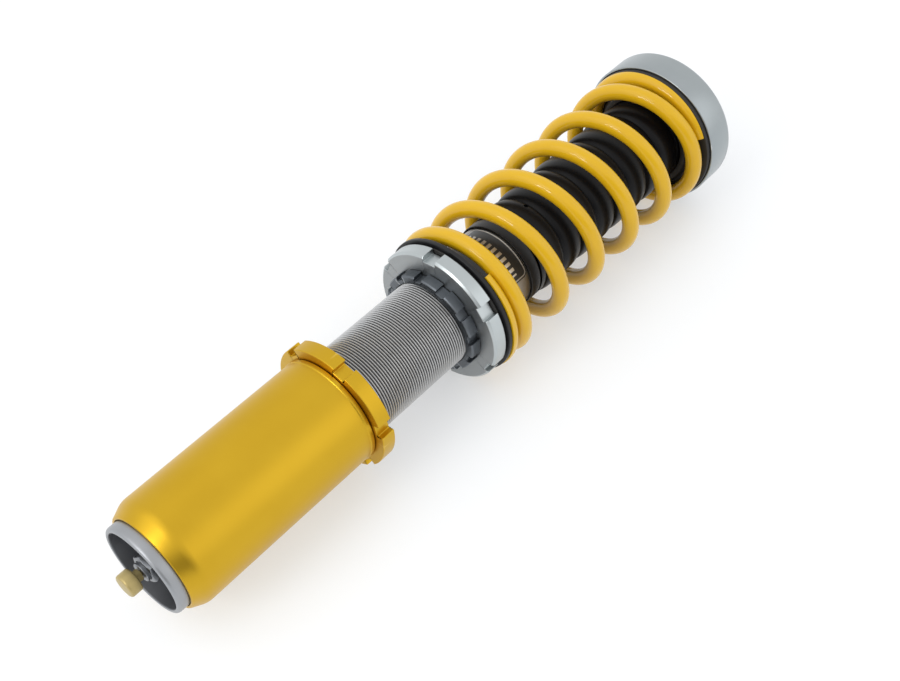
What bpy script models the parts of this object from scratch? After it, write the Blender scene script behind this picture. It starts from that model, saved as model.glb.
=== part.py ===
"""Inverted mono-tube coilover strut: body, damper, spring, seats and adjusters as separate solids.

Metres, +Z up. The strut lies along X: knob end at -X, top seat at +X. Stations along the strut are
measured from the lip face of the body and moved by X_SHIFT, so the bottom centre is the origin.
"""
import math

import bmesh
import bpy
from mathutils import Matrix, Vector

# ---------------------------------------------------------------- driving dimensions
MM = 0.001
X_SHIFT = 213.0          # station that becomes X = 0
AXIS_HEIGHT = 43.4       # height of the strut's centre line over the floor

THREAD_R = 24.8          # M50 x 1.5 body thread, drawn plain
BODY_BORE_R = 22.2
BODY_TOP = 250.0
LABEL_R = 24.3           # plain upper end of the body

SLEEVE_R = 30.0
SLEEVE_BORE_R = 25.15
SLEEVE_LO, SLEEVE_HI = 6.0, 119.7

RING_R, RING_FLOOR_R = 35.5, 32.0
RING_LO, RING_HI = 120.0, 128.1
RING_SLOTS, RING_SLOT_W, RING_SLOT_DEG = 6, 7.0, 44.2

NUT_R, NUT_FLOOR_R = 29.7, 27.5
NUT_LO, NUT_HI = 192.3, 198.5
NUT_SLOTS, NUT_SLOT_W, NUT_SLOT_DEG = 12, 5.3, 15.0

PERCH_R, PERCH_FLOOR_R = 39.7, 36.4
PERCH_LO, PERCH_HI = 198.8, 207.0
PERCH_SLOTS, PERCH_SLOT_W, PERCH_SLOT_DEG = 6, 8.0, 21.6

SPRING_LO, SPRING_HI = 211.3, 387.8
WIRE_R = 4.7
COIL_R = 37.2
CLOSED_PITCH = 9.9
SPRING_DEG = 2552.0      # total turns x 360
SPRING_START_DEG = 121.0

TUBE_R, TUBE_BORE_R = 20.0, 18.0
TUBE_LO, TUBE_HI = 102.0, 376.0

SEAT_R = 43.5
SEAT_LO, SEAT_HI = 390.4, 409.5

BOOT_LO, BOOT_HI = 255.0, 385.6
BOOT_PEAK_R, BOOT_VALLEY_R, BOOT_WALL = 26.9, 24.5, 1.5
BOOT_WAVES = 4

COLLECTION = "coilover"

# ---------------------------------------------------------------- materials
PALETTE = {
    "grey_anodised": ((0.33, 0.34, 0.35), 0.85, 0.42),
    "gold_anodised": ((0.76, 0.45, 0.05), 0.85, 0.36),
    "dark_anodised": ((0.10, 0.12, 0.14), 0.80, 0.40),
    "silver_aluminium": ((0.62, 0.65, 0.66), 0.90, 0.32),
    "satin_silver": ((0.50, 0.53, 0.54), 0.75, 0.45),
    "yellow_powder": ((0.80, 0.46, 0.03), 0.00, 0.28),
    "black_rubber": ((0.012, 0.012, 0.014), 0.00, 0.62),
    "dark_plastic": ((0.05, 0.055, 0.06), 0.00, 0.45),
    "chrome": ((0.75, 0.76, 0.78), 1.00, 0.10),
    "steel": ((0.48, 0.49, 0.50), 1.00, 0.28),
    "pale_brass": ((0.62, 0.52, 0.20), 0.90, 0.34),
    "bronze": ((0.42, 0.28, 0.12), 0.90, 0.42),
    "urethane": ((0.70, 0.60, 0.38), 0.00, 0.55),
    "ptfe": ((0.16, 0.24, 0.22), 0.00, 0.50),
}


def clear_scene():
    for obj in list(bpy.data.objects):
        bpy.data.objects.remove(obj, do_unlink=True)


def material(name):
    found = bpy.data.materials.get(name)
    if found is not None:
        return found
    colour, metallic, roughness = PALETTE[name]
    mat = bpy.data.materials.new(name)
    mat.use_nodes = True
    shader = mat.node_tree.nodes["Principled BSDF"]
    shader.inputs["Base Color"].default_value = (*colour, 1.0)
    shader.inputs["Metallic"].default_value = metallic
    shader.inputs["Roughness"].default_value = roughness
    mat.diffuse_color = (*colour, 1.0)
    return mat


clear_scene()
parts = bpy.data.collections.new(COLLECTION)
bpy.context.scene.collection.children.link(parts)
tools = bpy.data.collections.new("cutters")
bpy.context.scene.collection.children.link(tools)


def on_axis(station, deg=0.0, radius=0.0):
    """World point at a station, a radius from the centre line, deg from +Y towards +Z."""
    turn_rad = math.radians(deg)
    return Vector(((station - X_SHIFT) * MM,
                   radius * MM * math.cos(turn_rad),
                   (AXIS_HEIGHT + radius * math.sin(turn_rad)) * MM))


def lay_along_x(obj, phase_deg=0.0):
    """Put a piece modelled about local Z on the strut's axis, turned by phase_deg about it."""
    obj.matrix_world = (Matrix.Translation(on_axis(0.0))
                        @ Matrix.Rotation(math.pi / 2, 4, "Y")
                        @ Matrix.Rotation(math.radians(phase_deg), 4, "Z"))


def smooth(obj, angle=0.6):
    for poly in obj.data.polygons:
        poly.use_smooth = True
    obj.data.set_sharp_from_angle(angle=angle)


def turned(name, mat, outer, inner=None, steps=48):
    """Turned piece. outer and inner are (station, radius) lists, each from the low station up.

    It is laid with a flat between two facet edges downwards, so the strut rests on flats.
    """
    down = list(reversed(outer))
    if inner:
        loop = down + list(inner)
    else:
        loop = [(outer[-1][0], 0.0)] + down + [(outer[0][0], 0.0)]
    mesh = bpy.data.meshes.new(name)
    points = [(radius * MM, 0.0, station * MM) for station, radius in loop]
    edges = [(i, i + 1) for i in range(len(points) - 1)]
    if inner:
        edges.append((len(points) - 1, 0))
    mesh.from_pydata(points, edges, [])
    obj = bpy.data.objects.new(name, mesh)
    parts.objects.link(obj)
    lay_along_x(obj, 180.0 / steps)
    screw = obj.modifiers.new("turn", "SCREW")
    screw.axis = "Z"
    screw.steps = steps
    screw.render_steps = steps
    screw.use_merge_vertices = True
    screw.merge_threshold = 0.00005
    screw.use_smooth_shade = True
    mesh.materials.append(material(mat))
    return obj


def boolean(obj, cutter):
    cutter.hide_render = True
    cutter.display_type = "WIRE"
    cut = obj.modifiers.new("cut", "BOOLEAN")
    cut.operation = "DIFFERENCE"
    cut.solver = "EXACT"
    cut.object = cutter


def box_cutter(name, boxes):
    """One cutter mesh from (station, deg, radius, length, width, depth) boxes set around the axis."""
    mesh = bpy.data.meshes.new(name)
    bm = bmesh.new()
    for station, deg, radius, length, width, depth in boxes:
        place = (Matrix.Translation(on_axis(station, deg, radius))
                 @ Matrix.Rotation(math.radians(deg), 4, "X")
                 @ Matrix.Diagonal((length * MM, depth * MM, width * MM, 1.0)))
        bmesh.ops.create_cube(bm, size=1.0, matrix=place)
    bm.to_mesh(mesh)
    bm.free()
    obj = bpy.data.objects.new(name, mesh)
    tools.objects.link(obj)
    return obj


def pin_cutter(name, pins, sides=16):
    """One cutter mesh from (station, deg, radius, length, pin radius, lie) pins, lie X or R."""
    mesh = bpy.data.meshes.new(name)
    bm = bmesh.new()
    for station, deg, radius, length, pin_r, lie in pins:
        place = Matrix.Translation(on_axis(station, deg, radius))
        if lie == "X":
            place = place @ Matrix.Rotation(math.pi / 2, 4, "Y")
        else:
            place = (place @ Matrix.Rotation(math.radians(deg), 4, "X")
                     @ Matrix.Rotation(-math.pi / 2, 4, "X"))
        bmesh.ops.create_cone(bm, cap_ends=True, segments=sides, radius1=pin_r * MM,
                              radius2=pin_r * MM, depth=length * MM, matrix=place)
    bm.to_mesh(mesh)
    bm.free()
    obj = bpy.data.objects.new(name, mesh)
    tools.objects.link(obj)
    return obj


def slots_around(name, count, first_deg, station, length, width, floor_r, outer_r):
    depth = (outer_r - floor_r) + 4.0
    radius = floor_r + depth / 2
    step = 360.0 / count
    boxes = [(station, first_deg + step * i, radius, length, width, depth) for i in range(count)]
    return box_cutter(name, boxes)


def hex_nut(name, mat, low, high, across, bore_r, deg=0.0, bevel=0.5):
    """Hexagon nut on the strut's axis with a through bore."""
    corner = across / math.sqrt(3.0)
    mesh = bpy.data.meshes.new(name)
    bm = bmesh.new()
    place = (Matrix.Translation(on_axis((low + high) / 2))
             @ Matrix.Rotation(math.pi / 2, 4, "Y")
             @ Matrix.Rotation(math.radians(deg), 4, "Z"))
    bmesh.ops.create_cone(bm, cap_ends=True, segments=6, radius1=corner * MM,
                          radius2=corner * MM, depth=(high - low) * MM, matrix=place)
    bm.to_mesh(mesh)
    bm.free()
    obj = bpy.data.objects.new(name, mesh)
    parts.objects.link(obj)
    mesh.materials.append(material(mat))
    edge = obj.modifiers.new("edge", "BEVEL")
    edge.width = bevel * MM
    edge.segments = 1
    edge.limit_method = "ANGLE"
    edge.angle_limit = math.radians(40)
    mid = (low + high) / 2
    boolean(obj, pin_cutter(name + "_bore", [(mid, 0.0, 0.0, high - low + 4, bore_r, "X")], 24))
    return obj


# ---------------------------------------------------------------- body and foot
body_tube = turned("body_tube", "grey_anodised",
                   [(0.9, 22.6), (0.0, 23.3), (0.2, 24.1), (1.4, THREAD_R), (214.0, THREAD_R),
                    (215.0, LABEL_R), (BODY_TOP - 0.8, LABEL_R), (BODY_TOP, 23.6)],
                   [(0.9, BODY_BORE_R), (BODY_TOP, BODY_BORE_R)], 40)

foot_plug = turned("foot_plug", "dark_anodised",
                   [(8.3, 21.3), (8.9, 21.9), (20.0, 21.9)],
                   [(8.3, 5.4), (20.0, 5.4)], 32)
boolean(foot_plug, pin_cutter("foot_plug_holes", [(9.0, a, 14.5, 7.0, 2.0, "X") for a in (75, 255)]))

piston_rod = turned("piston_rod", "chrome",
                    [(-0.4, 4.6), (0.2, 5.0), (20.3, 5.0), (20.31, 8.0), (138.0, 8.0),
                     (138.01, 5.0), (162.0, 5.0), (162.5, 4.5)],
                    [(-0.4, 1.7), (162.5, 1.7)], 20)
rod_nut = hex_nut("rod_nut", "steel", 1.4, 8.0, 14.0, 5.3, 12.0)

bump_stop = turned("bump_stop", "urethane",
                   [(20.6, 17.0), (25.0, 17.0), (28.0, 14.2), (32.0, 15.4), (37.0, 11.5)],
                   [(20.6, 8.3), (37.0, 8.3)], 24)

# ---------------------------------------------------------------- guides in the body
lower_bush = turned("lower_bush", "bronze", [(146.0, 21.9), (168.0, 21.9)],
                    [(146.0, 20.3), (168.0, 20.3)], 28)
upper_bush = turned("upper_bush", "bronze", [(219.0, 21.9), (241.0, 21.9)],
                    [(219.0, 20.3), (241.0, 20.3)], 28)
wiper_seal = turned("wiper_seal", "black_rubber", [(241.4, 21.9), (249.6, 21.9)],
                    [(241.4, 20.9), (246.0, 20.9), (248.4, 20.3), (249.6, 20.9)], 28)
dust_cap = turned("dust_cap", "dark_plastic",
                  [(246.6, 25.0), (247.0, 25.4), (253.6, 25.4), (254.6, 24.4)],
                  [(246.6, 24.6), (250.3, 24.6), (250.31, 20.6), (254.6, 20.6)], 32)

# ---------------------------------------------------------------- sleeve and threaded rings
knuckle_sleeve = turned("knuckle_sleeve", "gold_anodised",
                        [(6.6, 25.15), (SLEEVE_LO, 25.6), (SLEEVE_LO, 26.5), (13.4, SLEEVE_R),
                         (116.9, SLEEVE_R), (117.3, 30.35), (119.2, 30.35), (SLEEVE_HI, 29.9)],
                        [(6.61, SLEEVE_BORE_R), (SLEEVE_HI, SLEEVE_BORE_R)], 40)

sleeve_lock_ring = turned("sleeve_lock_ring", "gold_anodised",
                          [(RING_LO, 34.9), (RING_LO + 0.6, RING_R), (RING_HI - 0.6, RING_R),
                           (RING_HI, 34.9)],
                          [(RING_LO, 25.15), (RING_HI, 25.15)], 48)
boolean(sleeve_lock_ring, slots_around("ring_slots", RING_SLOTS, RING_SLOT_DEG,
                                       (RING_LO + RING_HI) / 2, 14.0, RING_SLOT_W,
                                       RING_FLOOR_R, RING_R))

perch_lock_nut = turned("perch_lock_nut", "dark_anodised",
                        [(NUT_LO, 28.9), (NUT_LO + 0.8, NUT_R), (NUT_HI, NUT_R)],
                        [(NUT_LO, 25.15), (NUT_HI, 25.15)], 48)
boolean(perch_lock_nut, slots_around("nut_slots", NUT_SLOTS, NUT_SLOT_DEG,
                                     (NUT_LO + NUT_HI) / 2, 12.0, NUT_SLOT_W,
                                     NUT_FLOOR_R, NUT_R))

spring_perch = turned("spring_perch", "silver_aluminium",
                      [(PERCH_LO, 38.5), (PERCH_LO + 1.2, PERCH_R), (PERCH_HI - 0.5, PERCH_R),
                       (PERCH_HI, 39.2), (PERCH_HI + 0.01, 31.6), (216.0, 31.6), (217.5, 30.4)],
                      [(PERCH_LO, 25.15), (217.5, 25.15)], 48)
boolean(spring_perch, slots_around("perch_slots", PERCH_SLOTS, PERCH_SLOT_DEG,
                                   (PERCH_LO + PERCH_HI) / 2, 14.0, PERCH_SLOT_W,
                                   PERCH_FLOOR_R, PERCH_R))

thrust_washer = turned("thrust_washer", "black_rubber", [(207.3, 38.6), (208.3, 38.6)],
                       [(207.3, 32.0), (208.3, 32.0)], 32)
thrust_ring = turned("thrust_ring", "dark_plastic",
                     [(208.6, 40.5), (209.0, 41.0), (210.6, 41.0), (211.0, 40.6)],
                     [(208.6, 32.0), (211.0, 32.0)], 48)


# ---------------------------------------------------------------- main spring
def coil_station(deg):
    """Station of the wire centre, deg along the wire from its lower tip."""
    lower = SPRING_LO - WIRE_R / 2
    upper = SPRING_HI + WIRE_R / 2
    open_deg = SPRING_DEG - 720.0
    open_lo = lower + CLOSED_PITCH
    open_hi = upper - CLOSED_PITCH
    if deg <= 360.0:
        return lower + CLOSED_PITCH * deg / 360.0
    if deg >= SPRING_DEG - 360.0:
        return upper - CLOSED_PITCH * (SPRING_DEG - deg) / 360.0
    return open_lo + (open_hi - open_lo) * (deg - 360.0) / open_deg


def wire_mesh(name, step_deg=18.0):
    """Round wire along the coil, with flat capped ends."""
    count = int(round(SPRING_DEG / step_deg))
    curve = bpy.data.curves.new(name, "CURVE")
    curve.dimensions = "3D"
    curve.bevel_depth = WIRE_R * MM
    curve.bevel_resolution = 2
    curve.use_fill_caps = True
    spline = curve.splines.new("POLY")
    spline.points.add(count)
    for i in range(count + 1):
        deg = SPRING_DEG * i / count
        raw = [coil_station(min(max(deg + d, 0.0), SPRING_DEG)) for d in (-15.0, 0.0, 15.0)]
        station = sum(raw) / 3 if 15.0 < deg < SPRING_DEG - 15.0 else raw[1]
        point = on_axis(station, SPRING_START_DEG + deg, COIL_R)
        spline.points[i].co = (*point, 1.0)
    holder = bpy.data.objects.new(name + "_path", curve)
    bpy.context.scene.collection.objects.link(holder)
    graph = bpy.context.evaluated_depsgraph_get()
    mesh = bpy.data.meshes.new_from_object(holder.evaluated_get(graph))
    bpy.data.objects.remove(holder, do_unlink=True)
    mesh.name = name
    bm = bmesh.new()
    bm.from_mesh(mesh)
    bmesh.ops.remove_doubles(bm, verts=bm.verts, dist=0.00002)
    bmesh.ops.recalc_face_normals(bm, faces=bm.faces)
    bm.to_mesh(mesh)
    bm.free()
    return mesh


main_spring = bpy.data.objects.new("main_spring", wire_mesh("main_spring"))
parts.objects.link(main_spring)
main_spring.data.materials.clear()
main_spring.data.materials.append(material("yellow_powder"))
smooth(main_spring)
boolean(main_spring, box_cutter("spring_grind",
                                [(SPRING_LO - 10.0, 0.0, 0.0, 20.0, 120.0, 120.0),
                                 (SPRING_HI + 10.0, 0.0, 0.0, 20.0, 120.0, 120.0)]))


# ---------------------------------------------------------------- dust boot
def boot_outline(wall):
    """Convoluted outline from the lower cuff to the upper cuff, wall inside the outer skin."""
    points = [(BOOT_LO, 25.2 - wall), (BOOT_LO + 3.0, 25.2 - wall)]
    start, end = BOOT_LO + 4.0, BOOT_HI - 4.0
    steps = BOOT_WAVES * 4
    for i in range(steps + 1):
        part = i / steps
        mid = (BOOT_PEAK_R + BOOT_VALLEY_R) / 2
        half = (BOOT_PEAK_R - BOOT_VALLEY_R) / 2
        radius = mid - half * math.cos(2 * math.pi * BOOT_WAVES * part)
        points.append((start + (end - start) * part, radius - wall))
    points.append((BOOT_HI - 3.0, 25.2 - wall))
    points.append((BOOT_HI, 25.2 - wall))
    return points


rubber_boot = turned("rubber_boot", "black_rubber", boot_outline(0.0), boot_outline(BOOT_WALL), 28)

# ---------------------------------------------------------------- damper tube and its contents
damper_tube = turned("damper_tube", "chrome",
                     [(TUBE_LO, 19.4), (TUBE_LO + 0.8, TUBE_R), (TUBE_HI, TUBE_R)],
                     [(TUBE_LO, TUBE_BORE_R), (TUBE_HI, TUBE_BORE_R)], 32)
seal_head = turned("seal_head", "silver_aluminium",
                   [(102.6, 17.1), (103.2, 17.7), (121.0, 17.7)],
                   [(102.6, 11.4), (108.4, 11.4), (108.41, 8.4), (121.0, 8.4)], 24)
rod_seal = turned("rod_seal", "black_rubber", [(103.2, 11.1), (108.1, 11.1)],
                  [(103.2, 8.3), (108.1, 8.3)], 20)
rebound_shims = turned("rebound_shims", "steel", [(138.4, 11.0), (139.6, 11.0), (139.61, 13.0),
                                                  (140.7, 13.0)],
                       [(138.4, 5.3), (140.7, 5.3)], 20)
piston = turned("piston", "bronze",
                [(141.0, 17.2), (143.7, 17.2), (143.71, 16.0), (150.3, 16.0), (150.31, 17.2),
                 (153.0, 17.2)],
                [(141.0, 5.3), (153.0, 5.3)], 24)
boolean(piston, pin_cutter("piston_ports", [(147.0, a, 10.5, 20.0, 1.7, "X")
                                            for a in (30, 90, 150, 210, 270, 330)], 12))
piston_band = turned("piston_band", "ptfe", [(144.0, 17.7), (150.0, 17.7)],
                     [(144.0, 16.3), (150.0, 16.3)], 24)
compression_shims = turned("compression_shims", "steel",
                           [(153.3, 13.0), (154.4, 13.0), (154.41, 10.0), (155.5, 10.0)],
                           [(153.3, 5.3), (155.5, 5.3)], 20)
piston_nut = hex_nut("piston_nut", "steel", 155.8, 161.6, 15.0, 5.3, 30.0)

floating_piston = turned("floating_piston", "silver_aluminium",
                         [(300.0, 17.1), (300.6, 17.6), (305.7, 17.6), (305.71, 15.2),
                          (310.3, 15.2), (310.31, 17.6), (316.0, 17.6)],
                         [(300.0, 12.0), (311.0, 12.0), (311.01, 4.0), (316.0, 4.0)], 24)
floating_bleed_screw = turned("floating_bleed_screw", "steel",
                              [(306.0, 6.2), (310.7, 6.2), (310.71, 3.7), (315.5, 3.7)], None, 16)
floating_piston_ring = turned("floating_piston_ring", "black_rubber",
                              [(306.0, 17.2), (307.0, 17.7), (309.0, 17.7), (310.0, 17.2)],
                              [(306.0, 15.5), (310.0, 15.5)], 24)

# ---------------------------------------------------------------- top end
top_cap = turned("top_cap", "steel",
                 [(356.0, 17.1), (356.6, 17.7), (376.3, 17.7), (376.31, 19.6), (385.6, 19.6),
                  (385.61, 12.0), (412.0, 12.0), (412.01, 6.0), (435.2, 6.0), (436.0, 5.2)],
                 None, 24)
boolean(top_cap, pin_cutter("stud_socket", [(436.0, 30.0, 0.0, 12.0, 3.0, "X")], 6))

top_seat = turned("top_seat", "satin_silver",
                  [(SEAT_LO, 43.1), (SEAT_LO + 0.4, SEAT_R), (SEAT_HI - 2.4, SEAT_R),
                   (SEAT_HI - 0.7, 42.8), (SEAT_HI, 41.1)],
                  [(SEAT_LO, 42.3), (396.0, 42.3), (396.01, 24.0), (386.0, 24.0),
                   (385.99, 12.3), (406.5, 12.3), (406.51, 30.0), (SEAT_HI, 30.0)], 48)
seat_isolator = turned("seat_isolator", "black_rubber",
                       [(383.4, 28.6), (384.4, 31.8), (388.0, 31.9), (388.1, 42.0), (395.7, 42.0)],
                       [(383.4, 26.0), (385.9, 26.0), (385.91, 24.4), (395.7, 24.4)], 32)

bearing_lower_race = turned("bearing_lower_race", "steel",
                            [(406.8, 29.6), (410.4, 29.6), (411.0, 29.0)],
                            [(406.8, 12.5), (411.0, 12.5)], 28)
bearing_cage = turned("bearing_cage", "bronze", [(411.3, 27.0), (412.7, 27.0)],
                      [(411.3, 15.0), (412.7, 15.0)], 28)
bearing_upper_race = turned("bearing_upper_race", "steel",
                            [(413.0, 29.0), (413.6, 29.6), (416.4, 29.6), (417.0, 29.0)],
                            [(413.0, 13.6), (417.0, 13.6)], 28)
top_washer = turned("top_washer", "steel", [(417.4, 13.0), (419.4, 13.0)],
                    [(417.4, 6.3), (419.4, 6.3)], 24)
top_nut = hex_nut("top_nut", "steel", 419.7, 430.0, 18.0, 6.3, 0.0, 0.8)

# ---------------------------------------------------------------- adjuster
adjuster_knob = turned("adjuster_knob", "pale_brass",
                       [(-10.0, 5.2), (-9.2, 6.0), (-4.4, 6.0), (-3.8, 5.4), (-3.79, 3.0),
                        (-0.8, 3.0), (-0.79, 1.3), (1.6, 1.3)], None, 24)
adjuster_needle = turned("adjuster_needle", "steel",
                         [(2.0, 1.3), (126.0, 1.3), (130.0, 0.4)], None, 8)
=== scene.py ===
"""Looks of the coilover strut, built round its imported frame. Metres, +Z up, the strut lies along X."""
import math

import bmesh
import bpy
from mathutils import Matrix, Vector


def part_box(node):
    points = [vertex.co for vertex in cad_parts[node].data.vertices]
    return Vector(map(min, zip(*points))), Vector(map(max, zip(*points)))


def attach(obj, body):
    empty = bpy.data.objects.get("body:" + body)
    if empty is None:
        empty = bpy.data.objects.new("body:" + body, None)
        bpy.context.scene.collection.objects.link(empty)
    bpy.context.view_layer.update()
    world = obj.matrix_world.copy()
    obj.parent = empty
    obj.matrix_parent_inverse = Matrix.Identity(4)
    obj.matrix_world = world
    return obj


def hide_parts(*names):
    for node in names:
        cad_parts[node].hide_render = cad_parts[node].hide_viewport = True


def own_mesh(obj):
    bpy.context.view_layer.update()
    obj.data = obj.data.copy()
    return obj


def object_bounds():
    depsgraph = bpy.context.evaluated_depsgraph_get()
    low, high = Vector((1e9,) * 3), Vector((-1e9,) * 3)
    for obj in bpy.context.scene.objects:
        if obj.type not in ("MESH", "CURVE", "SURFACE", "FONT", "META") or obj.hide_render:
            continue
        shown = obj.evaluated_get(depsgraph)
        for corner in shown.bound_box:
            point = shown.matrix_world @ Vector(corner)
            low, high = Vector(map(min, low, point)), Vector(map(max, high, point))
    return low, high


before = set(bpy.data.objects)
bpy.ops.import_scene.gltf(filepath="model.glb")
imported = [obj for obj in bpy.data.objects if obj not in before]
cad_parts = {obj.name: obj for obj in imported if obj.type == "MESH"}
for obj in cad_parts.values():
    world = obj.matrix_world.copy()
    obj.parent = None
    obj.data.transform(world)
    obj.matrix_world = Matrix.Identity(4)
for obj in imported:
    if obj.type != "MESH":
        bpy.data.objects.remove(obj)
cad_low, cad_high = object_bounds()

# ---------------------------------------------------------------- where the strut is
MM = 0.001
LIP_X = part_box("body_tube")[0].x
SEAT_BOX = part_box("top_seat")
AXIS_Z = (SEAT_BOX[0].z + SEAT_BOX[1].z) / 2
STRUT_AXIS = Vector((1.0, 0.0, 0.0))
AXIS_POINT = Vector((LIP_X, 0.0, AXIS_Z))
FULL_TURN = 2 * math.pi


def at(station, deg=0.0, radius=0.0):
    """Point at a station and a radius in mm, deg round the strut from +Y towards +Z."""
    a = math.radians(deg)
    return AXIS_POINT + Vector((station, radius * math.cos(a), radius * math.sin(a))) * MM


def station_of(x):
    return (x - LIP_X) / MM


# ---------------------------------------------------------------- node helpers
def feed(tree, socket, value):
    """Give an input socket a value, or link it to an output socket."""
    if isinstance(value, bpy.types.NodeSocket):
        tree.links.new(value, socket)
    else:
        socket.default_value = value


def put(tree, kind, feeds=None, **settings):
    """Add a node, set its properties, and feed each named or numbered input."""
    made = tree.nodes.new(kind)
    for key, value in settings.items():
        setattr(made, key, value)
    for key, value in (feeds or {}).items():
        feed(tree, made.inputs[key], value)
    return made


def calc(tree, operation, *values, clamp=False):
    return put(tree, "ShaderNodeMath", dict(enumerate(values)),
               operation=operation, use_clamp=clamp).outputs[0]


def step_down(tree, value, edge, soft):
    """1 below edge, 0 above it, over a width of soft."""
    ramp = put(tree, "ShaderNodeMapRange", {"Value": value, "From Min": edge - soft,
                                            "From Max": edge + soft, "To Min": 1.0, "To Max": 0.0})
    return ramp.outputs["Result"]


def mix(tree, kind, share, first, second):
    """Mix two colours (kind "Color") or two numbers (kind "Float")."""
    made = put(tree, "ShaderNodeMix", data_type={"Color": "RGBA", "Float": "FLOAT"}[kind])
    for key, value in (("Factor_Float", share), ("A_" + kind, first), ("B_" + kind, second)):
        feed(tree, next(s for s in made.inputs if s.identifier == key), value)
    return next(s for s in made.outputs if s.identifier == "Result_" + kind)


def mix_colour(tree, share, first, second):
    first, second = (c if isinstance(c, bpy.types.NodeSocket) else (*c, 1.0) for c in (first, second))
    return mix(tree, "Color", share, first, second)


def object_place(tree):
    return put(tree, "ShaderNodeTexCoord").outputs["Object"]


def strut_place(tree, place):
    """X, Y, height over the strut's line and distance from it, all of a place."""
    split = put(tree, "ShaderNodeSeparateXYZ", {"Vector": place}).outputs
    height = calc(tree, "SUBTRACT", split["Z"], AXIS_Z)
    radius = calc(tree, "SQRT", calc(tree, "ADD", calc(tree, "POWER", split["Y"], 2.0),
                                     calc(tree, "POWER", height, 2.0)))
    return split["X"], split["Y"], height, radius


def start_group(name, inputs, outputs):
    group = bpy.data.node_groups.new(name, "ShaderNodeTree")
    for label, kind, value in inputs:
        socket = group.interface.new_socket(name=label, in_out="INPUT", socket_type=kind)
        if value is not None:
            socket.default_value = value
    for label, kind in outputs:
        group.interface.new_socket(name=label, in_out="OUTPUT", socket_type=kind)
    return group, group.nodes.new("NodeGroupInput").outputs, group.nodes.new("NodeGroupOutput").inputs


FLOAT, POINT = "NodeSocketFloat", "NodeSocketVector"


# ---------------------------------------------------------------- shared surface effects
STREAK_SCALE = 0.07                               # noise scale of the broad streaks, 1 for tool lines
WEAR_NOISE_SCALE, WEAR_NOISE_SHARE, WEAR_SOFT = 420.0, 0.12, 0.05
DUST_NOISE_SCALE = 260.0


def build_blast_grain():
    """Fine blasted or sprayed grain, with slow patches of more and less sheen."""
    group, given, out = start_group(
        "blast_grain", [("Place", POINT, None), ("Grain Size", FLOAT, 0.0006), ("Patch Size", FLOAT, 0.03)],
        [("Height", FLOAT), ("Patch", FLOAT)])
    fine = calc(group, "DIVIDE", 1.0, given["Grain Size"])
    broad = calc(group, "DIVIDE", 1.0, given["Patch Size"])
    grain = put(group, "ShaderNodeTexNoise", {"Vector": given["Place"], "Scale": fine, "Detail": 3.0,
                                              "Roughness": 0.6})
    patch = put(group, "ShaderNodeTexNoise", {"Vector": given["Place"], "Scale": broad, "Detail": 4.0,
                                              "Roughness": 0.55})
    group.links.new(grain.outputs["Fac"], out["Height"])
    group.links.new(patch.outputs["Fac"], out["Patch"])
    return group


def build_lathe_lines():
    """Tool lines left by turning: rings that follow the station on sides and the radius on faces."""
    group, given, out = start_group(
        "lathe_lines", [("Place", POINT, None), ("Line Pitch", FLOAT, 0.0004)],
        [("Height", FLOAT), ("Streak", FLOAT)])
    along, _, _, radius = strut_place(group, given["Place"])
    travel = calc(group, "ADD", along, radius)
    run = put(group, "ShaderNodeCombineXYZ", {"X": calc(group, "DIVIDE", travel, given["Line Pitch"])})
    line = put(group, "ShaderNodeTexNoise", {"Vector": run.outputs["Vector"], "Scale": 1.0, "Detail": 2.0})
    wide = put(group, "ShaderNodeTexNoise", {"Vector": run.outputs["Vector"], "Scale": STREAK_SCALE,
                                             "Detail": 1.0})
    group.links.new(line.outputs["Fac"], out["Height"])
    group.links.new(wide.outputs["Fac"], out["Streak"])
    return group


def build_edge_wear():
    """Bright rubbed edges, broken up by noise."""
    group, given, out = start_group(
        "edge_wear", [("Place", POINT, None), ("Reach", FLOAT, 0.54), ("Breakup", FLOAT, 0.5)],
        [("Mask", FLOAT)])
    sharp = put(group, "ShaderNodeNewGeometry").outputs["Pointiness"]
    noise = put(group, "ShaderNodeTexNoise", {"Vector": given["Place"], "Scale": WEAR_NOISE_SCALE,
                                              "Detail": 4.0})
    lift = calc(group, "MULTIPLY", calc(group, "SUBTRACT", noise.outputs["Fac"], 0.5), given["Breakup"])
    edge = calc(group, "ADD", sharp, calc(group, "MULTIPLY", lift, WEAR_NOISE_SHARE))
    ramp = put(group, "ShaderNodeMapRange", {"Value": edge, "From Min": given["Reach"],
                                             "From Max": calc(group, "ADD", given["Reach"], WEAR_SOFT)})
    group.links.new(ramp.outputs["Result"], out["Mask"])
    return group


def build_settled_dust():
    """Thin dust on what faces up."""
    group, given, out = start_group(
        "settled_dust", [("Place", POINT, None), ("Facing", POINT, None), ("Amount", FLOAT, 0.2)],
        [("Mask", FLOAT)])
    up = put(group, "ShaderNodeSeparateXYZ", {"Vector": given["Facing"]}).outputs["Z"]
    noise = put(group, "ShaderNodeTexNoise", {"Vector": given["Place"], "Scale": DUST_NOISE_SCALE,
                                              "Detail": 6.0, "Roughness": 0.7})
    lit = calc(group, "MULTIPLY", calc(group, "MAXIMUM", up, 0.0), noise.outputs["Fac"])
    group.links.new(calc(group, "MULTIPLY", lit, given["Amount"], clamp=True), out["Mask"])
    return group


BLAST_GRAIN = build_blast_grain()
LATHE_LINES = build_lathe_lines()
EDGE_WEAR = build_edge_wear()
SETTLED_DUST = build_settled_dust()


def use_group(tree, group, feeds):
    made = tree.nodes.new("ShaderNodeGroup")
    made.node_tree = group
    for key, value in feeds.items():
        feed(tree, made.inputs[key], value)
    return made.outputs


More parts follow.
